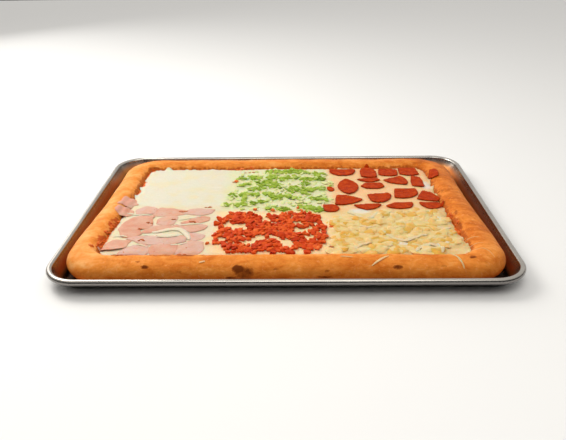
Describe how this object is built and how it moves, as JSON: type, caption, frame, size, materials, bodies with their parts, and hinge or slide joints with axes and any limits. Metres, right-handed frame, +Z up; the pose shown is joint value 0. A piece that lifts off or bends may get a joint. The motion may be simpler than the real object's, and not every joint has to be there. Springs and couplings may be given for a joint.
{
  "type": "combination pizza",
  "caption": "Rectangular thick-crust pizza with sections of different toppings, baked in a low rectangular sheet pan with a rolled rim.",
  "frame": {"origin": "centre of the pan's underside, on the surface that it rests on", "axes": "+Z up, +X along the pizza's long side, -Y towards the front side, where the ham, diced pepperoni and pineapple lie"},
  "size_m": [0.6604, 0.4572, 0.0417],
  "materials": {
    "pan_metal": "worn satin",
    "crust": "baked bread, golden brown",
    "sauce": "moist tomato sauce",
    "cheese": "melted, soft gloss",
    "green_pepper": "cooked, moist",
    "diced_pepperoni": "oily",
    "pineapple": "cooked, moist",
    "pepperoni": "oily",
    "ham": "moist cooked ham"
  },
  "bodies": {
    "root": {"sheet_pan": "pan_metal", "crust": "crust", "sauce": "sauce", "cheese": "cheese", "green_pepper": "green_pepper", "diced_pepperoni": "diced_pepperoni", "pineapple": "pineapple", "pepperoni_01": "pepperoni", "pepperoni_02": "pepperoni", "pepperoni_03": "pepperoni", "pepperoni_04": "pepperoni", "pepperoni_05": "pepperoni", "pepperoni_06": "pepperoni", "pepperoni_07": "pepperoni", "pepperoni_08": "pepperoni", "pepperoni_09": "pepperoni", "pepperoni_10": "pepperoni", "pepperoni_11": "pepperoni", "pepperoni_12": "pepperoni", "pepperoni_13": "pepperoni", "pepperoni_14": "pepperoni", "pepperoni_15": "pepperoni", "pepperoni_16": "pepperoni", "pepperoni_17": "pepperoni", "pepperoni_18": "pepperoni", "pepperoni_19": "pepperoni", "ham_01": "ham", "ham_02": "ham", "ham_03": "ham", "ham_04": "ham", "ham_05": "ham", "ham_06": "ham", "ham_07": "ham", "ham_08": "ham", "ham_09": "ham", "ham_10": "ham", "ham_11": "ham", "ham_12": "ham", "ham_13": "ham", "ham_14": "ham", "ham_15": "ham", "ham_16": "ham"}
  },
  "joints": []
}
